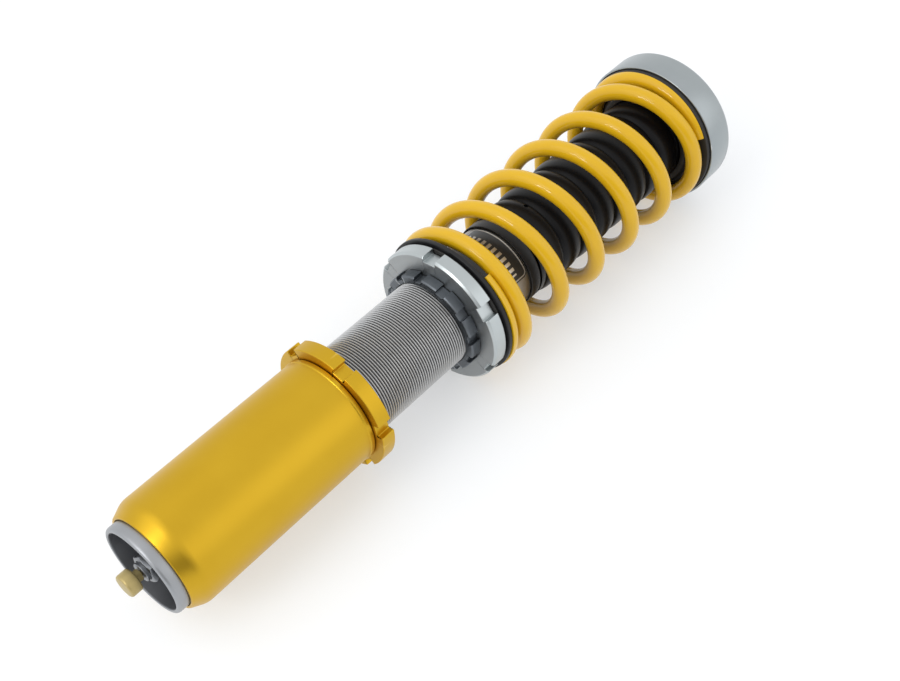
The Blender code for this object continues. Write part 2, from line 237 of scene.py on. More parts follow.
# ---------------------------------------------------------------- finishes
DARK_PATCH, LIGHT_PATCH = 0.3, 0.7                # noise taken as all dark and as all light colour
SHINY_PATCH, DULL_PATCH = 0.25, 0.75              # noise taken as the least and the most roughness
STREAK_ROUGHNESS = 0.12
WEAR_BREAKUP = 0.6
DUST_COLOUR, DUST_ROUGHNESS = (0.42, 0.40, 0.37), 0.4


def finish_of(name, light, dark, metallic, rough, rough_swing, grain_mm, grain_lift_mm,
              line_mm=0.0, line_lift_mm=0.0, wear=None, wear_colour=None, dust=0.0, patch_mm=30.0,
              shader_values=None):
    """A finish: two near colours in patches, grain and tool lines as bump, worn edges and dust."""
    made = bpy.data.materials.new(name)
    made.use_nodes = True
    tree = made.node_tree
    shader = tree.nodes["Principled BSDF"]
    place = put(tree, "ShaderNodeTexCoord").outputs
    grain = use_group(tree, BLAST_GRAIN, {"Place": place["Object"], "Grain Size": grain_mm * MM,
                                          "Patch Size": patch_mm * MM})
    share = put(tree, "ShaderNodeMapRange", {"Value": grain["Patch"], "From Min": DARK_PATCH,
                                             "From Max": LIGHT_PATCH})
    colour = mix_colour(tree, share.outputs["Result"], dark, light)
    roughness = put(tree, "ShaderNodeMapRange", {"Value": grain["Patch"], "From Min": SHINY_PATCH,
                                                 "From Max": DULL_PATCH,
                                                 "To Min": rough - rough_swing,
                                                 "To Max": rough + rough_swing}).outputs["Result"]
    height = calc(tree, "MULTIPLY", grain["Height"], grain_lift_mm)
    if line_mm:
        lines = use_group(tree, LATHE_LINES, {"Place": place["Object"], "Line Pitch": line_mm * MM})
        height = calc(tree, "ADD", height, calc(tree, "MULTIPLY", lines["Height"], line_lift_mm))
        roughness = calc(tree, "ADD", roughness,
                         calc(tree, "MULTIPLY", calc(tree, "SUBTRACT", lines["Streak"], 0.5),
                              STREAK_ROUGHNESS))
    if wear:
        mask = use_group(tree, EDGE_WEAR, {"Place": place["Object"], "Reach": wear,
                                           "Breakup": WEAR_BREAKUP})["Mask"]
        colour = mix_colour(tree, mask, colour, wear_colour)
    if dust:
        film = use_group(tree, SETTLED_DUST, {"Place": place["Object"], "Facing": place["Normal"],
                                              "Amount": dust})["Mask"]
        colour = mix_colour(tree, film, colour, DUST_COLOUR)
        roughness = calc(tree, "ADD", roughness, calc(tree, "MULTIPLY", film, DUST_ROUGHNESS), clamp=True)
    bump = put(tree, "ShaderNodeBump", {"Height": height, "Distance": MM, "Strength": 1.0})
    tree.links.new(colour, shader.inputs["Base Color"])
    tree.links.new(roughness, shader.inputs["Roughness"])
    tree.links.new(bump.outputs["Normal"], shader.inputs["Normal"])
    shader.inputs["Metallic"].default_value = metallic
    for key, value in (shader_values or {}).items():
        shader.inputs[key].default_value = value
    return made


gold_anodise = finish_of("gold_anodise", (0.605, 0.375, 0.026), (0.575, 0.35, 0.023), 1.0, 0.36, 0.02,
                         0.35, 0.004, wear=0.56, wear_colour=(0.70, 0.47, 0.08))
spring_powder = finish_of("spring_powder", (0.71, 0.425, 0.008), (0.68, 0.40, 0.007), 0.0, 0.34, 0.03,
                          1.1, 0.008, shader_values={"Specular IOR Level": 0.12, "Coat Weight": 0.60,
                                                     "Coat Roughness": 0.04})
thread_grey = finish_of("thread_grey", (0.62, 0.62, 0.62), (0.56, 0.56, 0.56), 1.0, 0.34, 0.03,
                        0.4, 0.003, wear=0.60, wear_colour=(0.60, 0.60, 0.60))
perch_silver = finish_of("perch_silver", (0.50, 0.535, 0.54), (0.45, 0.485, 0.49), 1.0, 0.33, 0.04,
                         0.5, 0.002, line_mm=0.16, line_lift_mm=0.004, wear=0.57,
                         wear_colour=(0.75, 0.78, 0.78))
# Darker copy of the perch's aluminium for its front face: painted shade.
perch_face_painted_shade = finish_of("perch_face_painted_shade", (0.37, 0.385, 0.39), (0.33, 0.345, 0.35), 1.0, 0.40, 0.04,
                       0.5, 0.003, line_mm=0.22, line_lift_mm=0.003, wear=0.57,
                       wear_colour=(0.55, 0.58, 0.58))
lip_silver = finish_of("lip_silver", (0.37, 0.38, 0.395), (0.33, 0.34, 0.355), 1.0, 0.42, 0.03,
                       0.4, 0.003, wear=0.62, wear_colour=(0.55, 0.56, 0.57))
lock_nut_grey = finish_of("lock_nut_grey", (0.15, 0.163, 0.178), (0.12, 0.132, 0.146), 1.0, 0.38, 0.04,
                          0.4, 0.003, line_mm=0.2, line_lift_mm=0.003, wear=0.57,
                          wear_colour=(0.34, 0.36, 0.38))
seat_silver = finish_of("seat_silver", (0.37, 0.40, 0.41), (0.335, 0.365, 0.375), 1.0, 0.29, 0.03,
                        0.3, 0.003, wear=0.58, wear_colour=(0.62, 0.64, 0.64))
# Dark metal: the foot plug's own dark anodising, and painted shade on the tube's inner wall in the recess.
dark_anodise_and_recess_shade = finish_of("dark_anodise_and_recess_shade", (0.17, 0.175, 0.185), (0.14, 0.145, 0.155), 1.0, 0.50, 0.05,
                         0.4, 0.004, line_mm=0.25, line_lift_mm=0.004)
boot_rubber = finish_of("boot_rubber", (0.0045, 0.0045, 0.0055), (0.003, 0.003, 0.004), 0.0, 0.34, 0.04,
                        0.7, 0.004, dust=0.003, shader_values={"Specular IOR Level": 0.16})
isolator_rubber = finish_of("isolator_rubber", (0.020, 0.018, 0.016), (0.013, 0.012, 0.011), 0.0, 0.62,
                            0.05, 0.5, 0.01, dust=0.02)
ring_plastic = finish_of("ring_plastic", (0.012, 0.012, 0.013), (0.009, 0.009, 0.010), 0.0, 0.40, 0.04,
                         0.5, 0.006, line_mm=0.3, line_lift_mm=0.003, dust=0.006,
                         shader_values={"Specular IOR Level": 0.30})
plated_steel = finish_of("plated_steel", (0.56, 0.565, 0.57), (0.48, 0.485, 0.49), 1.0, 0.26, 0.05,
                         0.6, 0.003, line_mm=0.25, line_lift_mm=0.003, wear=0.58,
                         wear_colour=(0.75, 0.75, 0.75))
# Darkened copy of the plated steel for the rod's end and its nut deep in the recess: painted shade.
dark_steel_painted_shade = finish_of("dark_steel_painted_shade", (0.24, 0.25, 0.265), (0.20, 0.21, 0.225), 1.0, 0.34, 0.04,
                       0.5, 0.003, line_mm=0.25, line_lift_mm=0.003, wear=0.58,
                       wear_colour=(0.50, 0.51, 0.53))
hard_chrome = finish_of("hard_chrome", (0.72, 0.73, 0.75), (0.68, 0.69, 0.71), 1.0, 0.09, 0.03,
                        0.5, 0.0006, line_mm=0.1, line_lift_mm=0.0006)
knob_brass = finish_of("knob_brass", (0.49, 0.39, 0.17), (0.45, 0.35, 0.145), 0.75, 0.42, 0.04,
                       0.3, 0.005, wear=0.57, wear_colour=(0.78, 0.72, 0.46))
bush_bronze = finish_of("bush_bronze", (0.42, 0.26, 0.11), (0.34, 0.21, 0.09), 1.0, 0.40, 0.06,
                        0.5, 0.006, line_mm=0.3, line_lift_mm=0.003)
bump_urethane = finish_of("bump_urethane", (0.66, 0.54, 0.30), (0.58, 0.47, 0.26), 0.0, 0.5, 0.05,
                          1.5, 0.03, shader_values={"Subsurface Weight": 0.15, "Subsurface Scale": 0.003})
band_ptfe = finish_of("band_ptfe", (0.10, 0.16, 0.145), (0.08, 0.13, 0.12), 0.0, 0.5, 0.05, 0.4, 0.006)


def paint_valley_shade(made, radius_mm, soft_mm, valley_shade_colour):
    """Painted shade below a radius, where the ridges shade the foot of the thread."""
    tree = made.node_tree
    shader = tree.nodes["Principled BSDF"]
    base = shader.inputs["Base Color"].links[0].from_socket
    radius = strut_place(tree, object_place(tree))[-1]
    low = step_down(tree, radius, radius_mm * MM, soft_mm * MM)
    tree.links.new(mix_colour(tree, low, base, valley_shade_colour), shader.inputs["Base Color"])


# Painted shade at the foot of the thread, between the ridges.
paint_valley_shade(thread_grey, 24.3, 0.35, (0.09, 0.09, 0.09))

# The marks on the body's plain end, in mm along the strut and round it.
COLLAR_R = 24.3
# Up to this station the plain end is painted dark: painted shade below the window, inside the first coil.
SHADE_BAND_END = 226.0
WINDOW_DEG, WINDOW_STATION = 103.0, 236.6
WINDOW_HALF_LENGTH, WINDOW_HALF_ARC, WINDOW_CORNER = 9.6, 22.3, 3.6
FRAME_INSET, FRAME_HALF_WIDTH, FRAME_SHARE = 1.2, 0.38, 0.7
RIB_PITCH, RIB_SHARE = 3.6, 0.26
RIB_ROW_SHIFT, RIB_ROW_HALF, RIB_ROW_INSET = -2.1, 4.6, 4.2
WINDOW_AND_SHADE_BLACK, MARK_PALE, WINDOW_ROUGHNESS = (0.012, 0.011, 0.010), (0.62, 0.58, 0.52), 0.30
MARK_SOFT = 0.08


def rounded_window(tree, along, arc):
    """Distance in mm out of the window's rounded outline, less than 0 inside it."""
    side_a = calc(tree, "SUBTRACT", calc(tree, "ABSOLUTE", along), WINDOW_HALF_LENGTH - WINDOW_CORNER)
    side_b = calc(tree, "SUBTRACT", calc(tree, "ABSOLUTE", arc), WINDOW_HALF_ARC - WINDOW_CORNER)
    outer = calc(tree, "SQRT", calc(tree, "ADD",
                                    calc(tree, "POWER", calc(tree, "MAXIMUM", side_a, 0.0), 2.0),
                                    calc(tree, "POWER", calc(tree, "MAXIMUM", side_b, 0.0), 2.0)))
    inner = calc(tree, "MINIMUM", calc(tree, "MAXIMUM", side_a, side_b), 0.0)
    return calc(tree, "SUBTRACT", calc(tree, "ADD", outer, inner), WINDOW_CORNER)


def build_collar_finish():
    """The body's plain upper end: worn metal, a dark band of painted shade below the window, and a dark
    window with a frame and ribs.
    """
    made = finish_of("collar_grey", (0.38, 0.355, 0.325), (0.31, 0.29, 0.265), 1.0, 0.36, 0.05,
                     0.4, 0.003, line_mm=0.2, line_lift_mm=0.004)
    tree = made.node_tree
    shader = tree.nodes["Principled BSDF"]
    base = shader.inputs["Base Color"].links[0].from_socket
    rough = shader.inputs["Roughness"].links[0].from_socket
    x, y, height, _ = strut_place(tree, object_place(tree))
    station = calc(tree, "DIVIDE", calc(tree, "SUBTRACT", x, LIP_X), MM)
    angle = calc(tree, "ARCTAN2", height, y)
    arc = calc(tree, "MULTIPLY", calc(tree, "SUBTRACT", angle, math.radians(WINDOW_DEG)), COLLAR_R)
    along = calc(tree, "SUBTRACT", station, WINDOW_STATION)
    reach = rounded_window(tree, along, arc)
    # The mask covers the printed window and the band of painted shade below it; both take the same dark
    # colour.
    window_and_shade_mask = calc(tree, "MAXIMUM", step_down(tree, reach, 0.0, MARK_SOFT),
                 step_down(tree, station, SHADE_BAND_END, 0.1))
    frame_line = step_down(tree, calc(tree, "ABSOLUTE", calc(tree, "ADD", reach, FRAME_INSET)),
                           FRAME_HALF_WIDTH, MARK_SOFT)
    rib = step_down(tree, calc(tree, "PINGPONG", arc, RIB_PITCH / 2), RIB_PITCH * RIB_SHARE, 0.10)
    rows = step_down(tree, calc(tree, "ABSOLUTE", calc(tree, "SUBTRACT", along, RIB_ROW_SHIFT)),
                     RIB_ROW_HALF, MARK_SOFT)
    ends = step_down(tree, calc(tree, "ABSOLUTE", arc), WINDOW_HALF_ARC - RIB_ROW_INSET, MARK_SOFT)
    bright = calc(tree, "MAXIMUM", calc(tree, "MULTIPLY", calc(tree, "MULTIPLY", rib, rows), ends),
                  calc(tree, "MULTIPLY", frame_line, FRAME_SHARE))
    colour = mix_colour(tree, window_and_shade_mask, base, WINDOW_AND_SHADE_BLACK)
    tree.links.new(mix_colour(tree, bright, colour, MARK_PALE), shader.inputs["Base Color"])
    tree.links.new(mix(tree, "Float", window_and_shade_mask, rough, WINDOW_ROUGHNESS), shader.inputs["Roughness"])
    tree.links.new(calc(tree, "MAXIMUM", calc(tree, "SUBTRACT", 1.0, window_and_shade_mask), bright),
                   shader.inputs["Metallic"])
    return made


collar_grey = build_collar_finish()


# ---------------------------------------------------------------- shape helpers
SMOOTH_DEG, SHARP_DEG = 32.0, 34.0
THREAD_FLANK_DEG, THREAD_BURIED_MM = 30.0, 0.25
MERGE_MM, SPIN_MERGE_MM, ON_AXIS_MM = 0.004, 0.002, 0.01


def axis_distance(point):
    return math.hypot(point.y - AXIS_POINT.y, point.z - AXIS_POINT.z)


def spun(corners, steps, roundings=4):
    """Spin a closed outline round the strut. corners are (station, radius, rounding) in mm."""
    bm = bmesh.new()
    new = [bm.verts.new(at(station, 90.0, radius)) for station, radius, _ in corners]
    bm.faces.new(new)
    for rounding in sorted({r for _, _, r in corners if r}):
        picked = [v for v, c in zip(new, corners) if c[2] == rounding]
        bmesh.ops.bevel(bm, geom=picked, offset=rounding * MM, offset_type="OFFSET", segments=roundings,
                        profile=0.5, affect="VERTICES", material=-1, clamp_overlap=False)
    bmesh.ops.delete(bm, geom=bm.faces[:], context="FACES_ONLY")
    on_axis = [e for e in bm.edges if max(axis_distance(v.co) for v in e.verts) < ON_AXIS_MM * MM]
    bmesh.ops.delete(bm, geom=on_axis, context="EDGES")
    bmesh.ops.spin(bm, geom=bm.verts[:] + bm.edges[:], cent=AXIS_POINT, axis=STRUT_AXIS, dvec=(0, 0, 0),
                   angle=FULL_TURN, steps=steps, use_merge=True, use_duplicate=False)
    bmesh.ops.remove_doubles(bm, verts=bm.verts, dist=SPIN_MERGE_MM * MM)
    bmesh.ops.recalc_face_normals(bm, faces=bm.faces)
    return bm


def finished_mesh(obj):
    """A new mesh of what the object's modifiers give."""
    return bpy.data.meshes.new_from_object(obj.evaluated_get(bpy.context.evaluated_depsgraph_get()))


def combine(obj, other, operation):
    """The mesh of obj with the other object cut out of it or met with it. The other one is used up."""
    step = obj.modifiers.new("combine", "BOOLEAN")
    step.operation = operation
    step.solver = "EXACT"
    step.object = other
    result = finished_mesh(obj)
    obj.modifiers.remove(step)
    bpy.data.objects.remove(other, do_unlink=True)
    return result


def shade(mesh, smooth_deg):
    for poly in mesh.polygons:
        poly.use_smooth = True
    mesh.set_sharp_from_angle(angle=math.radians(smooth_deg))


def wound_ridge(low, high, root_r, crest_r, pitch, steps=72):
    """A V thread: one ridge of the thread wound from low to high, its foot buried in the core."""
    flank = (crest_r - root_r) * math.tan(math.radians(THREAD_FLANK_DEG))
    flat = pitch / 8
    section = ((-flat / 2 - flank, root_r), (-flat / 2, crest_r), (flat / 2, crest_r),
               (flat / 2 + flank, root_r), (0.0, root_r - THREAD_BURIED_MM))
    bm = bmesh.new()
    new = [bm.verts.new(at(low + shift, 90.0, radius)) for shift, radius in section]
    edges = [bm.edges.new((new[i], new[(i + 1) % len(new)])) for i in range(len(new))]
    bmesh.ops.spin(bm, geom=new + edges, cent=AXIS_POINT, axis=STRUT_AXIS,
                   dvec=STRUT_AXIS * (pitch * MM / steps), angle=FULL_TURN, steps=steps,
                   use_merge=False, use_duplicate=False)
    bmesh.ops.recalc_face_normals(bm, faces=bm.faces)
    turn = settle("turn", bm, [])
    repeat = turn.modifiers.new("repeat", "ARRAY")
    repeat.count = int((high - low) / pitch)
    repeat.use_relative_offset = False
    repeat.use_constant_offset = True
    repeat.constant_offset_displace = STRUT_AXIS * (pitch * MM)
    wound = finished_mesh(turn)
    bpy.data.objects.remove(turn, do_unlink=True)
    bm = bmesh.new()
    bm.from_mesh(wound)
    bmesh.ops.remove_doubles(bm, verts=bm.verts, dist=MERGE_MM * MM)
    bmesh.ops.holes_fill(bm, edges=[e for e in bm.edges if e.is_boundary], sides=0)
    bmesh.ops.recalc_face_normals(bm, faces=bm.faces)
    return bm


def gather(bm, other):
    """Add the other bmesh to bm as a closed shell of its own."""
    carrier = bpy.data.meshes.new("carrier")
    other.to_mesh(carrier)
    other.free()
    bm.from_mesh(carrier)
    bpy.data.meshes.remove(carrier)
    return bm


def settle(name, bm, finishes, smooth_deg=SMOOTH_DEG):
    """Turn the bmesh into an object with its place in its mesh."""
    mesh = bpy.data.meshes.new(name)
    bm.to_mesh(mesh)
    bm.free()
    shade(mesh, smooth_deg)
    for finish in finishes:
        mesh.materials.append(finish)
    obj = bpy.data.objects.new(name, mesh)
    bpy.context.scene.collection.objects.link(obj)
    return obj


def stands_for(obj, body, slot, *nodes):
    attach(obj, body)
    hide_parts(*nodes)
    return obj


def finish_where(obj, finish, test):
    """Give one more finish to the faces whose station and radius, in mm, pass a test."""
    obj.data.materials.append(finish)
    for poly in obj.data.polygons:
        if test(station_of(poly.center.x), axis_distance(poly.center) / MM):
            poly.material_index = len(obj.data.materials) - 1


def turned_piece(name, corners, steps, finish, roundings=4):
    return settle(name, spun(corners, steps, roundings), [finish])


def take_away(obj, boxes=(), drills=(), edge_mm=0.0, edge_segments=2, smooth_deg=SMOOTH_DEG):
    """Mill boxes and drill holes out, then break the edges.

    A box is (station, deg, radius, length, width, depth), a drill (station, deg, radius, length,
    hole radius, whether it runs along the strut, sides).
    """
    bm = bmesh.new()
    for station, deg, radius, length, width, depth in boxes:
        place = (Matrix.Translation(at(station, deg, radius))
                 @ Matrix.Rotation(math.radians(deg), 4, "X")
                 @ Matrix.Diagonal((length * MM, depth * MM, width * MM, 1.0)))
        bmesh.ops.create_cube(bm, size=1.0, matrix=place)
    for station, deg, radius, length, hole_r, along_strut, sides in drills:
        place = Matrix.Translation(at(station, deg, radius))
        if along_strut:
            place = place @ Matrix.Rotation(math.pi / 2, 4, "Y")
        else:
            place = place @ Matrix.Rotation(math.radians(deg - 90.0), 4, "X")
        bmesh.ops.create_cone(bm, cap_ends=True, segments=sides, radius1=hole_r * MM,
                              radius2=hole_r * MM, depth=length * MM, matrix=place)
    result = combine(obj, settle("cutter", bm, []), "DIFFERENCE")
    bm = bmesh.new()
    bm.from_mesh(result)
    bmesh.ops.remove_doubles(bm, verts=bm.verts, dist=MERGE_MM * MM)
    if edge_mm:
        sharp = [e for e in bm.edges
                 if len(e.link_faces) == 2 and e.calc_face_angle(0) > math.radians(SHARP_DEG)]
        bmesh.ops.bevel(bm, geom=sharp, offset=edge_mm * MM, offset_type="OFFSET", segments=edge_segments,
                        profile=0.5, affect="EDGES", material=-1, clamp_overlap=True)
    bm.to_mesh(result)
    bm.free()
    old = obj.data
    finishes = list(old.materials)
    obj.data = result
    result.materials.clear()
    for finish in finishes:
        result.materials.append(finish)
    shade(result, smooth_deg)
    bpy.data.meshes.remove(old)
    return obj


def slot_boxes(count, first_deg, station, length, width, floor_r, outer_r, past=4.0):
    """Boxes for evenly spaced slots, each from its floor to a little past the outside."""
    depth = outer_r - floor_r + past
    return [(station, first_deg + i * 360.0 / count, floor_r + depth / 2, length, width, depth)
            for i in range(count)]


def hexagon(name, low, high, across, bore_r, deg, finish, edge_mm=0.2, face_inset=0.4):
    """Hexagon nut on the strut's line, its corners turned off at 30 degrees, with a bore."""
    corner = across / math.sqrt(3.0)
    bm = bmesh.new()
    place = (Matrix.Translation(at((low + high) / 2)) @ Matrix.Rotation(math.pi / 2, 4, "Y")
             @ Matrix.Rotation(math.radians(deg), 4, "Z"))
    bmesh.ops.create_cone(bm, cap_ends=True, segments=6, radius1=corner * MM, radius2=corner * MM,
                          depth=(high - low) * MM, matrix=place)
    nut = settle(name, bm, [finish])
    face_r, past_r = across / 2 - face_inset, corner + 0.2
    rise = (corner - face_r) * math.tan(math.radians(30.0))
    trim = settle("trim", spun([(low, 0.0, 0.0), (low, face_r, 0.0), (low + rise, past_r, 0.0),
                                (high - rise, past_r, 0.0), (high, face_r, 0.0), (high, 0.0, 0.0)],
                               96), [])
    nut.data = combine(nut, trim, "INTERSECT")
    return take_away(nut, drills=[((low + high) / 2, 0.0, 0.0, high - low + 4, bore_r, True, 64)],
                     edge_mm=edge_mm)


# ---------------------------------------------------------------- body
# Outlines are lists of (station, radius, rounding) in mm, and stations start at the body's lip.
RECESS_R, LIP_END, PLAIN_START, ROD_SHOULDER = 22.4, 6.95, 213.9, 20.2


def build_body():
    """The threaded body: wide smooth lip, M50 x 1.5 thread, relief, and the plain marked end."""
    bm = spun([(0.0, 22.2, 0.9), (0.0, 24.78, 1.8), (6.3, 24.78, 0.3), (6.9, 23.86, 0.0),
               (213.6, 23.86, 0.0), (214.6, 24.3, 0.15), (250.0, 24.3, 0.5), (250.0, 22.2, 0.2)], 192)
    gather(bm, wound_ridge(7.1, 213.2, 23.88, 24.8, 1.5))
    body = settle("body_tube_turned", bm, [thread_grey], 28.0)
    finish_where(body, collar_grey, lambda station, radius: station > PLAIN_START)
    finish_where(body, lip_silver, lambda station, radius: station < LIP_END)
    # The tube's inner wall takes the dark metal as painted shade in the recess.
    finish_where(body, dark_anodise_and_recess_shade, lambda station, radius: radius < RECESS_R)
    return body


stands_for(build_body(), "strut_body", "grey_anodised", "body_tube")

plug = turned_piece("foot_plug_turned", [(8.3, 5.4, 0.3), (8.3, 21.9, 0.4), (20.0, 21.9, 0.4),
                                         (20.0, 5.4, 0.3)], 96, dark_anodise_and_recess_shade)
take_away(plug, drills=[(9.0, a, 14.5, 7.0, 2.0, True, 32) for a in (75.0, 255.0)], edge_mm=0.25)
stands_for(plug, "strut_body", "dark_anodised", "foot_plug")

rod = turned_piece("piston_rod_ground",
                   [(-0.4, 1.7, 0.1), (-0.4, 5.0, 0.5), (20.3, 5.0, 0.2), (20.3, 8.0, 0.4),
                    (138.0, 8.0, 0.4), (138.0, 5.0, 0.2), (162.5, 5.0, 0.5), (162.5, 1.7, 0.1)],
                   64, hard_chrome)
# The rod's end and its nut, deep in the recess, take the darkened steel as painted shade.
finish_where(rod, dark_steel_painted_shade, lambda station, radius: station < ROD_SHOULDER)
stands_for(rod, "strut_body", "chrome", "piston_rod")
stands_for(hexagon("rod_nut_plated", 1.4, 8.0, 14.0, 5.3, 12.0, dark_steel_painted_shade),
           "strut_body", "steel", "rod_nut")

stands_for(turned_piece("dust_cap_moulded",
                        [(246.6, 24.6, 0.15), (246.6, 25.4, 0.35), (253.6, 25.4, 0.8), (254.6, 24.2, 0.4),
                         (254.6, 20.6, 0.3), (250.3, 20.6, 0.2), (250.3, 24.6, 0.1)],
                        160, ring_plastic), "strut_body", "dark_plastic", "dust_cap")

# ---------------------------------------------------------------- sleeve and rings
PERCH_FACE_END, SPIGOT_START = 198.85, 207.1

stands_for(turned_piece("knuckle_sleeve_anodised",
                        [(6.0, 25.15, 0.3), (6.0, 26.5, 0.5), (13.4, 30.0, 2.2), (116.8, 30.0, 0.15),
                         (117.2, 30.35, 0.12), (119.3, 30.35, 0.25), (119.7, 29.9, 0.15),
                         (119.7, 25.15, 0.2)], 192, gold_anodise, 6),
           "sleeve", "gold_anodised", "knuckle_sleeve")

lock_ring = turned_piece("lock_ring_anodised", [(120.0, 25.15, 0.0), (120.0, 35.5, 0.0),
                                                (128.1, 35.5, 0.0), (128.1, 25.15, 0.0)],
                         192, gold_anodise)
take_away(lock_ring, slot_boxes(6, 44.2, 124.0, 14.0, 7.0, 32.0, 35.5), edge_mm=0.45, edge_segments=3,
          smooth_deg=15.0)
stands_for(lock_ring, "lock_ring", "gold_anodised", "sleeve_lock_ring")

lock_nut = turned_piece("lock_nut_anodised", [(192.3, 25.15, 0.0), (192.3, 29.0, 0.0), (193.0, 29.7, 0.0),
                                              (198.5, 29.7, 0.0), (198.5, 25.15, 0.0)],
                        192, lock_nut_grey)
take_away(lock_nut, slot_boxes(12, 15.0, 195.4, 12.0, 5.3, 27.5, 29.7), edge_mm=0.22, smooth_deg=8.0)
stands_for(lock_nut, "lock_nut", "dark_anodised", "perch_lock_nut")

perch = turned_piece("perch_machined", [(198.8, 25.15, 0.0), (198.8, 38.5, 0.0), (200.0, 39.7, 0.0),
                                        (207.0, 39.7, 0.0), (207.0, 31.6, 0.0), (216.6, 31.6, 0.0),
                                        (217.5, 30.6, 0.0), (217.5, 25.15, 0.0)],
                     192, perch_silver)
take_away(perch, slot_boxes(6, 21.6, 202.9, 14.0, 8.0, 36.4, 39.7), edge_mm=0.25, smooth_deg=8.0)
# The front face takes the darker copy of the aluminium as painted shade.
finish_where(perch, perch_face_painted_shade, lambda station, radius: station < PERCH_FACE_END)
finish_where(perch, ring_plastic, lambda station, radius: station > SPIGOT_START)
stands_for(perch, "perch", "silver_aluminium", "spring_perch")

stands_for(turned_piece("thrust_washer_moulded", [(207.3, 32.0, 0.2), (207.3, 38.6, 0.3),
                                                  (208.3, 38.6, 0.3), (208.3, 32.0, 0.2)],
                        160, isolator_rubber), "strut_body", "black_rubber", "thrust_washer")
stands_for(turned_piece("thrust_ring_moulded", [(208.6, 32.0, 0.3), (208.6, 41.0, 0.5),
                                                (211.0, 41.0, 0.5), (211.0, 32.0, 0.3)],
                        192, ring_plastic), "strut_body", "dark_plastic", "thrust_ring")

# ---------------------------------------------------------------- main spring
SPRING_LO, SPRING_HI = (station_of(corner.x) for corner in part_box("main_spring"))
WIRE_R, COIL_R = 4.7, 37.2
CLOSED_PITCH, CLOSED_DEG, TIP_RISE, TIP_LIFT = 9.8, 395.0, 1.25, 0.4
SPRING_DEG, SPRING_START_DEG = 2552.0, 121.0


def coil_station(deg):
    """Station of the wire's centre, deg along it from the lower tip."""
    lower, upper = SPRING_LO + TIP_LIFT, SPRING_HI + WIRE_R / 2
    if deg <= 360.0:
        return lower + CLOSED_PITCH * (deg / 360.0) ** TIP_RISE
    if deg <= CLOSED_DEG:
        return CLOSED_PITCH + coil_station(deg - 360.0)
    if deg >= SPRING_DEG - 360.0:
        return upper - CLOSED_PITCH * (SPRING_DEG - deg) / 360.0
    open_lo, open_hi = coil_station(CLOSED_DEG), upper - CLOSED_PITCH
    return open_lo + (open_hi - open_lo) * (deg - CLOSED_DEG) / (SPRING_DEG - 360.0 - CLOSED_DEG)


def eased_station(deg, reach=15.0):
    """Station of the wire's centre, with the changes of pitch smoothed over 2 x reach degrees."""
    if not reach < deg < SPRING_DEG - reach:
        return coil_station(deg)
    return sum(coil_station(deg + reach * k / 2) for k in (-2, -1, 0, 1, 2)) / 5


def build_spring(step_deg=4.0, sides=36):
    """Wire wound step by step with the pitch of each stretch, then ground flat at both ends."""
    bm = bmesh.new()
    start = at(coil_station(0.0), SPRING_START_DEG, COIL_R)
    place = (Matrix.Translation(start) @ Matrix.Rotation(math.radians(SPRING_START_DEG), 4, "X"))
    ring = bmesh.ops.create_circle(bm, cap_ends=False, segments=sides, radius=WIRE_R * MM,
                                   matrix=place)["verts"]
    loop = list({e for v in ring for e in v.link_edges})
    first = loop
    count = int(round(SPRING_DEG / step_deg))
    here = coil_station(0.0)
    for i in range(count):
        there = eased_station(SPRING_DEG * (i + 1) / count)
        made = bmesh.ops.spin(bm, geom=list(ring) + list(loop), cent=AXIS_POINT, axis=STRUT_AXIS,
                              dvec=STRUT_AXIS * ((there - here) * MM),
                              angle=math.radians(SPRING_DEG / count), steps=1, use_duplicate=False)
        ring = [g for g in made["geom_last"] if isinstance(g, bmesh.types.BMVert)]
        loop = [g for g in made["geom_last"] if isinstance(g, bmesh.types.BMEdge)]
        here = there
    bmesh.ops.edgeloop_fill(bm, edges=first)
    bmesh.ops.edgeloop_fill(bm, edges=loop)
    bmesh.ops.recalc_face_normals(bm, faces=bm.faces)
    for station, facing in ((SPRING_LO, -1.0), (SPRING_HI, 1.0)):
        cut = bmesh.ops.bisect_plane(bm, geom=bm.verts[:] + bm.edges[:] + bm.faces[:],
                                     plane_co=at(station), plane_no=STRUT_AXIS * facing,
                                     clear_outer=True, dist=0.0005 * MM)
        rim = [g for g in cut["geom_cut"] if isinstance(g, bmesh.types.BMEdge)]
        bmesh.ops.edgeloop_fill(bm, edges=[e for e in rim if e.is_valid and e.is_boundary])
    bmesh.ops.recalc_face_normals(bm, faces=bm.faces)
    return settle("main_spring_coated", bm, [spring_powder], 40.0)


spring = stands_for(build_spring(), "strut_body", "yellow_powder", "main_spring")
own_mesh(spring)

# ---------------------------------------------------------------- dust boot
BOOT_LO, BOOT_HI = (station_of(corner.x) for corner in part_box("rubber_boot"))
BOOT_PEAK_R, BOOT_VALLEY_R, BOOT_WALL, BOOT_FOLDS = 26.9, 24.9, 1.3, 8
CUFF_R, CUFF_LENGTH, FOLDS_INSET, BARREL_FULLNESS = 25.4, 3.0, 4.0, 0.55


def boot_skin(wall):
    """Outline of the boot: full barrels between tight folds, wall inside the outer skin."""
    low, high = BOOT_LO + FOLDS_INSET, BOOT_HI - FOLDS_INSET
    points = [(BOOT_LO, CUFF_R - wall), (BOOT_LO + CUFF_LENGTH, CUFF_R - wall)]
    count = BOOT_FOLDS * 10
    for i in range(count + 1):
        share = i / count
        swell = abs(math.sin(math.pi * BOOT_FOLDS * share)) ** BARREL_FULLNESS
        radius = BOOT_VALLEY_R + (BOOT_PEAK_R - BOOT_VALLEY_R) * swell
        points.append((low + (high - low) * share, radius - wall))
    return points + [(BOOT_HI - CUFF_LENGTH, CUFF_R - wall), (BOOT_HI, CUFF_R - wall)]


